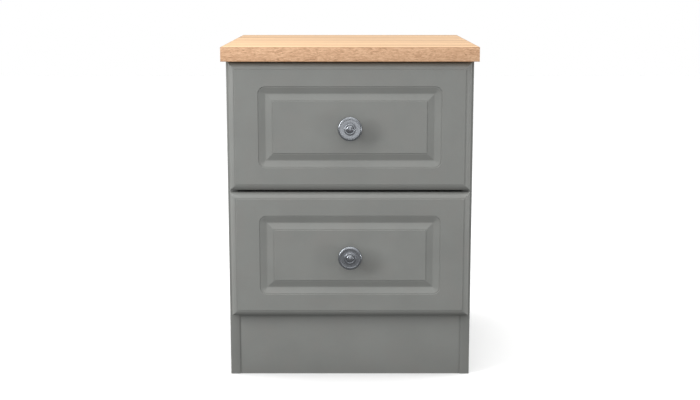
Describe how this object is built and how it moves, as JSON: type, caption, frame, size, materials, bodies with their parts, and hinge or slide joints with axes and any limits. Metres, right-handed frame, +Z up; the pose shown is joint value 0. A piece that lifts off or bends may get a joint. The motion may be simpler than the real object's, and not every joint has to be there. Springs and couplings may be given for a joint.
{
  "type": "nightstand",
  "caption": "Bedside cabinet with a wood-effect top, stacked drawers with routed panel fronts and round knobs on roller runners, and a recessed plinth.",
  "frame": {"origin": "on the floor, in the middle of the whole object's footprint, knobs included", "axes": "+Z up, the drawer fronts face -Y, +X to the right as seen from behind the cabinet looking forwards along +Y"},
  "size_m": [0.395, 0.435, 0.525],
  "materials": {
    "oak_board": "light oak effect foil, fine grain along the width, satin",
    "oak_edging": "light oak effect edging, darker fine grain, satin",
    "grey_board": "warm grey melamine facing, fine stipple, satin",
    "grey_edging": "warm grey edging strip, satin",
    "grey_front": "warm grey vinyl wrap over a routed fibreboard core, satin",
    "hardboard": "thin painted hardboard, light grey, slightly rough",
    "drawer_board": "light grey foil-wrapped fibreboard, satin",
    "knob_metal": "pewter-grey turned metal, soft polish",
    "runner_steel": "white epoxy powder coat, slight texture",
    "roller_plastic": "white moulded plastic",
    "zinc": "bright zinc plate",
    "beech": "plain beech, fluted dowel stock"
  },
  "bodies": {
    "cabinet": {"worktop": "oak_board", "worktop_front_edging": "oak_edging", "worktop_left_edging": "oak_edging", "worktop_right_edging": "oak_edging", "left_side_panel": "grey_board", "right_side_panel": "grey_board", "plinth": "grey_board", "bottom_panel": "grey_board", "front_top_rail": "grey_board", "rear_top_rail": "grey_board", "left_side_edging": "grey_edging", "right_side_edging": "grey_edging", "back_panel": "hardboard", "cam_locks": "zinc", "cam_bolts": "zinc", "worktop_screws": "zinc", "back_panel_pins": "zinc", "cabinet_runner_screws": "zinc", "front_roller_pins": "zinc", "panel_dowels": "beech", "upper_left_cabinet_runner": "runner_steel", "upper_right_cabinet_runner": "runner_steel", "lower_left_cabinet_runner": "runner_steel", "lower_right_cabinet_runner": "runner_steel"},
    "upper_drawer": {"upper_drawer_base": "hardboard", "upper_drawer_front": "grey_front", "upper_knob": "knob_metal", "upper_drawer_left_side": "drawer_board", "upper_drawer_right_side": "drawer_board", "upper_drawer_inner_front": "drawer_board", "upper_drawer_back": "drawer_board", "upper_box_dowels": "beech", "upper_front_screws": "zinc", "upper_knob_screw": "zinc", "upper_drawer_runner_screws": "zinc", "upper_rear_roller_pins": "zinc", "upper_left_drawer_runner": "runner_steel", "upper_right_drawer_runner": "runner_steel"},
    "lower_drawer": {"lower_drawer_base": "hardboard", "lower_drawer_front": "grey_front", "lower_knob": "knob_metal", "lower_drawer_left_side": "drawer_board", "lower_drawer_right_side": "drawer_board", "lower_drawer_inner_front": "drawer_board", "lower_drawer_back": "drawer_board", "lower_box_dowels": "beech", "lower_front_screws": "zinc", "lower_knob_screw": "zinc", "lower_drawer_runner_screws": "zinc", "lower_rear_roller_pins": "zinc", "lower_left_drawer_runner": "runner_steel", "lower_right_drawer_runner": "runner_steel"},
    "upper_left_front_roller": {"upper_left_front_roller": "roller_plastic"},
    "upper_left_rear_roller": {"upper_left_rear_roller": "roller_plastic"},
    "upper_right_front_roller": {"upper_right_front_roller": "roller_plastic"},
    "upper_right_rear_roller": {"upper_right_rear_roller": "roller_plastic"},
    "lower_left_front_roller": {"lower_left_front_roller": "roller_plastic"},
    "lower_left_rear_roller": {"lower_left_rear_roller": "roller_plastic"},
    "lower_right_front_roller": {"lower_right_front_roller": "roller_plastic"},
    "lower_right_rear_roller": {"lower_right_rear_roller": "roller_plastic"}
  },
  "joints": [
    {"name": "upper_drawer_slide", "type": "slide", "parent": "cabinet", "child": "upper_drawer", "axis": [0, -1, 0], "range_m": [0, 0.25]},
    {"name": "lower_drawer_slide", "type": "slide", "parent": "cabinet", "child": "lower_drawer", "axis": [0, -1, 0], "range_m": [0, 0.25]},
    {"name": "upper_left_front_roller_spin", "type": "hinge", "parent": "cabinet", "child": "upper_left_front_roller", "pos_m": [-0.17025, -0.159, 0.33225], "axis": [1, 0, 0], "continuous": true},
    {"name": "upper_left_rear_roller_spin", "type": "hinge", "parent": "upper_drawer", "child": "upper_left_rear_roller", "pos_m": [-0.16935, 0.1635, 0.33655], "axis": [1, 0, 0], "continuous": true},
    {"name": "upper_right_front_roller_spin", "type": "hinge", "parent": "cabinet", "child": "upper_right_front_roller", "pos_m": [0.17025, -0.159, 0.33225], "axis": [1, 0, 0], "continuous": true},
    {"name": "upper_right_rear_roller_spin", "type": "hinge", "parent": "upper_drawer", "child": "upper_right_rear_roller", "pos_m": [0.16935, 0.1635, 0.33655], "axis": [1, 0, 0], "continuous": true},
    {"name": "lower_left_front_roller_spin", "type": "hinge", "parent": "cabinet", "child": "lower_left_front_roller", "pos_m": [-0.17025, -0.159, 0.1305], "axis": [1, 0, 0], "continuous": true},
    {"name": "lower_left_rear_roller_spin", "type": "hinge", "parent": "lower_drawer", "child": "lower_left_rear_roller", "pos_m": [-0.16935, 0.1635, 0.1348], "axis": [1, 0, 0], "continuous": true},
    {"name": "lower_right_front_roller_spin", "type": "hinge", "parent": "cabinet", "child": "lower_right_front_roller", "pos_m": [0.17025, -0.159, 0.1305], "axis": [1, 0, 0], "continuous": true},
    {"name": "lower_right_rear_roller_spin", "type": "hinge", "parent": "lower_drawer", "child": "lower_right_rear_roller", "pos_m": [0.16935, 0.1635, 0.1348], "axis": [1, 0, 0], "continuous": true}
  ],
  "couplings": [
    {"joint": "upper_left_front_roller_spin", "follows": "upper_drawer_slide", "rad_per_m": 111.11},
    {"joint": "upper_left_rear_roller_spin", "follows": "upper_drawer_slide", "rad_per_m": 111.11},
    {"joint": "upper_right_front_roller_spin", "follows": "upper_drawer_slide", "rad_per_m": 111.11},
    {"joint": "upper_right_rear_roller_spin", "follows": "upper_drawer_slide", "rad_per_m": 111.11},
    {"joint": "lower_left_front_roller_spin", "follows": "lower_drawer_slide", "rad_per_m": 111.11},
    {"joint": "lower_left_rear_roller_spin", "follows": "lower_drawer_slide", "rad_per_m": 111.11},
    {"joint": "lower_right_front_roller_spin", "follows": "lower_drawer_slide", "rad_per_m": 111.11},
    {"joint": "lower_right_rear_roller_spin", "follows": "lower_drawer_slide", "rad_per_m": 111.11}
  ]
}
